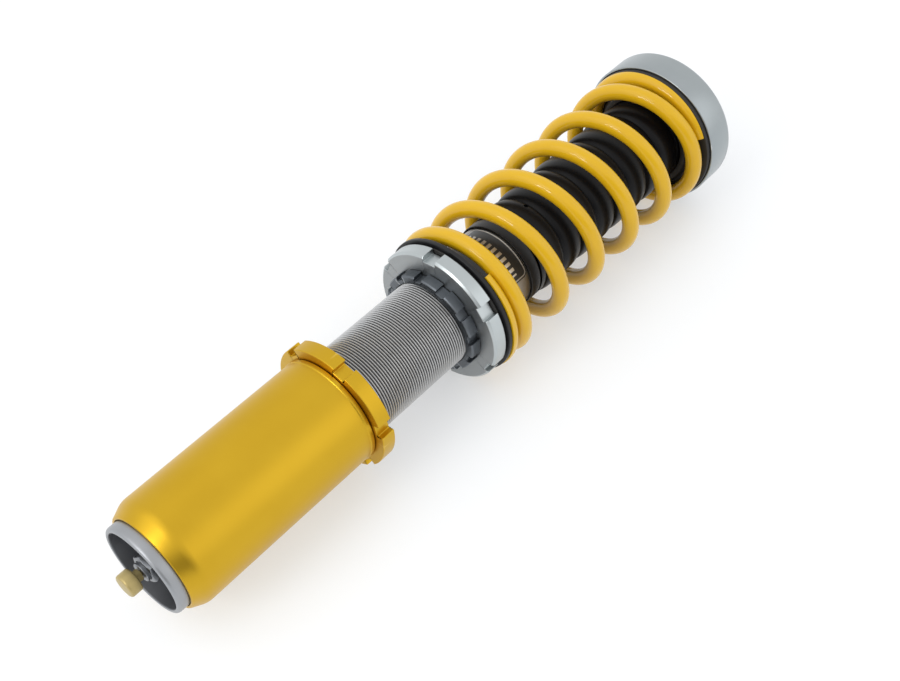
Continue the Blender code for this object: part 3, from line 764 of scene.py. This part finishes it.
outer, inner = boot_skin(0.0), boot_skin(BOOT_WALL)
boot = turned_piece("boot_moulded", [(s, r, 0.0) for s, r in outer]
                    + [(s, r, 0.0) for s, r in reversed(inner)], 128, boot_rubber)
take_away(boot, drills=[(272.0, 88.0, 25.0, 8.0, 1.3, False, 24)])
stands_for(boot, "strut_body", "black_rubber", "rubber_boot")
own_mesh(boot)

# ---------------------------------------------------------------- top end
stands_for(turned_piece("top_seat_satin",
                        [(390.4, 42.3, 0.25), (390.4, 43.5, 0.5), (409.5, 43.5, 2.4), (409.5, 30.0, 0.4),
                         (406.5, 30.0, 0.3), (406.5, 12.3, 0.2), (386.0, 12.3, 0.4), (386.0, 24.0, 0.4),
                         (396.0, 24.0, 0.5), (396.0, 42.3, 0.5)], 192, seat_silver),
           "damper", "satin_silver", "top_seat")
stands_for(turned_piece("seat_isolator_moulded",
                        [(383.4, 26.0, 0.3), (383.4, 29.2, 1.2), (388.0, 31.9, 0.6), (388.0, 42.0, 0.5),
                         (395.7, 42.0, 0.3), (395.7, 24.4, 0.3), (385.9, 24.4, 0.2), (385.9, 26.0, 0.2)],
                        128, isolator_rubber), "damper", "black_rubber", "seat_isolator")


def build_top_cap():
    """Cap of the damper tube with its spigot and threaded stud."""
    bm = spun([(356.0, 0.0, 0.0), (356.0, 17.7, 0.6), (376.3, 17.7, 0.2), (376.3, 19.6, 0.4),
               (385.6, 19.6, 0.4), (385.6, 12.0, 0.3), (412.0, 12.0, 0.5), (412.0, 6.0, 0.3),
               (418.6, 6.0, 0.1), (419.4, 5.3, 0.1), (436.0, 5.3, 0.6), (436.0, 0.0, 0.0)], 96)
    gather(bm, wound_ridge(419.8, 434.6, 5.32, 6.0, 1.25))
    cap = settle("top_cap_steel", bm, [plated_steel])
    return take_away(cap, drills=[(436.0, 30.0, 0.0, 12.0, 3.0, True, 6)])


stands_for(build_top_cap(), "damper", "steel", "top_cap")
stands_for(turned_piece("bearing_lower_race_ground",
                        [(406.8, 12.5, 0.3), (406.8, 29.6, 0.3), (411.0, 29.6, 0.7), (411.0, 12.5, 0.3)],
                        128, plated_steel), "damper", "steel", "bearing_lower_race")
stands_for(turned_piece("bearing_upper_race_ground",
                        [(413.0, 13.6, 0.3), (413.0, 29.6, 0.7), (417.0, 29.6, 0.7), (417.0, 13.6, 0.3)],
                        128, plated_steel), "bearing_top", "steel", "bearing_upper_race")
stands_for(turned_piece("top_washer_plated", [(417.4, 6.3, 0.15), (417.4, 13.0, 0.3), (419.4, 13.0, 0.3),
                                              (419.4, 6.3, 0.15)], 96, plated_steel),
           "damper", "steel", "top_washer")
stands_for(hexagon("top_nut_plated", 419.7, 430.0, 18.0, 6.3, 0.0, plated_steel),
           "damper", "steel", "top_nut")

# ---------------------------------------------------------------- adjuster
stands_for(turned_piece("adjuster_knob_turned",
                        [(-10.0, 0.0, 0.0), (-10.0, 6.0, 1.1), (-3.8, 6.0, 0.7), (-3.8, 3.0, 0.2),
                         (-0.8, 3.0, 0.3), (-0.8, 1.3, 0.1), (1.6, 1.3, 0.2), (1.6, 0.0, 0.0)],
                        96, knob_brass), "knob", "pale_brass", "adjuster_knob")

# ---------------------------------------------------------------- CAD nodes that stay
STAYING_FINISH = {
    "chrome": hard_chrome, "steel": plated_steel, "bronze": bush_bronze, "urethane": bump_urethane,
    "ptfe": band_ptfe, "black_rubber": isolator_rubber, "silver_aluminium": perch_silver,
}
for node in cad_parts.values():
    if node.hide_render:
        continue
    for place_in_list in node.material_slots:
        label = place_in_list.material.name.split(".")[0]
        found = next((k for k in STAYING_FINISH if k in label), "steel")
        place_in_list.material = STAYING_FINISH[found]


# ---------------------------------------------------------------- stage, light and camera
TENT_LEVEL = 1.03
OPENING_HEADING, OPENING_LOSS = (-0.57, -0.78, 0.12), 0.75
PANEL_HEADING, PANEL_GAIN = (0.42, -0.76, 0.46), 0.40
FLOOR_RADIUS, FLOOR_GLOW = 6.0, 0.42
FLOOR_COLOURS = (0.535, 0.55, 0.565), (0.555, 0.567, 0.58)
CAMERA_OFFSET, CAMERA_HEADING = (-0.11428, -0.28129, 0.48851), (0.48135, 0.41882, -0.77000)
LENS_MM, SENSOR_MM = 49.4, 36.0
STRUT_MIDDLE = (0, 0, 0.04)


def build_floor():
    """Pale paper that glows a little, so that the strut's shadow stays light."""
    bm = bmesh.new()
    bmesh.ops.create_circle(bm, cap_ends=True, segments=96, radius=FLOOR_RADIUS,
                            matrix=Matrix.Translation((0.0, 0.0, cad_low.z)))
    paper = bpy.data.materials.new("table_white")
    paper.use_nodes = True
    tree = paper.node_tree
    shader = tree.nodes["Principled BSDF"]
    grain = use_group(tree, BLAST_GRAIN, {"Place": object_place(tree), "Grain Size": 0.004,
                                          "Patch Size": 0.5})
    tree.links.new(mix_colour(tree, grain["Patch"], *FLOOR_COLOURS), shader.inputs["Base Color"])
    shader.inputs["Roughness"].default_value = 0.8
    shader.inputs["Specular IOR Level"].default_value = 0.2
    shader.inputs["Emission Color"].default_value = (1.0, 1.0, 1.0, 1.0)
    shader.inputs["Emission Strength"].default_value = FLOOR_GLOW
    floor = settle("floor", bm, [paper])


def soft_light(name, place, target, width, height, watts):
    data = bpy.data.lights.new(name, "AREA")
    data.shape = "RECTANGLE"
    data.size, data.size_y = width, height
    data.energy = watts
    lamp = bpy.data.objects.new(name, data)
    lamp.location = place
    lamp.rotation_mode = "QUATERNION"
    lamp.rotation_quaternion = (Vector(target) - Vector(place)).to_track_quat("-Z", "Y")
    bpy.context.scene.collection.objects.link(lamp)


def build_camera():
    data = bpy.data.cameras.new("camera")
    data.sensor_width = SENSOR_MM
    data.lens = LENS_MM
    data.clip_start, data.clip_end = 0.01, 50.0
    camera = bpy.data.objects.new("camera", data)
    camera.location = AXIS_POINT + Vector(CAMERA_OFFSET)
    camera.rotation_mode = "QUATERNION"
    camera.rotation_quaternion = Vector(CAMERA_HEADING).to_track_quat("-Z", "Y")
    bpy.context.scene.collection.objects.link(camera)
    bpy.context.scene.camera = camera


def toward(tree, direction, heading, start, end):
    """How much a direction lies round a heading: 0 at a cosine of start, 1 at a cosine of end."""
    cosine = put(tree, "ShaderNodeVectorMath", {0: direction, 1: Vector(heading).normalized()},
                 operation="DOT_PRODUCT").outputs["Value"]
    return put(tree, "ShaderNodeMapRange", {"Value": cosine, "From Min": start, "From Max": end},
               interpolation_type="SMOOTHSTEP").outputs["Result"]


def build_studio():
    """White tent: even all round but for a dark opening and a bright panel, and plain white to look at."""
    world = bpy.data.worlds.new("studio")
    bpy.context.scene.world = world
    world.use_nodes = True
    tree = world.node_tree
    direction = put(tree, "ShaderNodeTexCoord").outputs["Generated"]
    opening = toward(tree, direction, OPENING_HEADING, 0.80, 0.97)
    panel = toward(tree, direction, PANEL_HEADING, 0.86, 0.985)
    level = calc(tree, "SUBTRACT", TENT_LEVEL, calc(tree, "MULTIPLY", opening, OPENING_LOSS))
    level = calc(tree, "ADD", level, calc(tree, "MULTIPLY", panel, PANEL_GAIN))
    seen = put(tree, "ShaderNodeLightPath").outputs["Is Camera Ray"]
    background = tree.nodes["Background"]
    background.inputs["Color"].default_value = (0.985, 0.992, 1.0, 1.0)
    tree.links.new(mix(tree, "Float", seen, level, TENT_LEVEL), background.inputs["Strength"])


build_floor()
build_studio()
soft_light("upper_left", (-0.75, 0.45, 1.25), STRUT_MIDDLE, 1.2, 1.2, 2.4)
soft_light("lip_side", (-0.95, 0.07, 1.30), (-0.2, 0, 0.04), 0.45, 0.45, 0.9)
soft_light("glint", (-1.10, 0.08, 0.74), STRUT_MIDDLE, 0.45, 0.12, 2.4)
build_camera()
bpy.context.scene.view_settings.view_transform = "Standard"
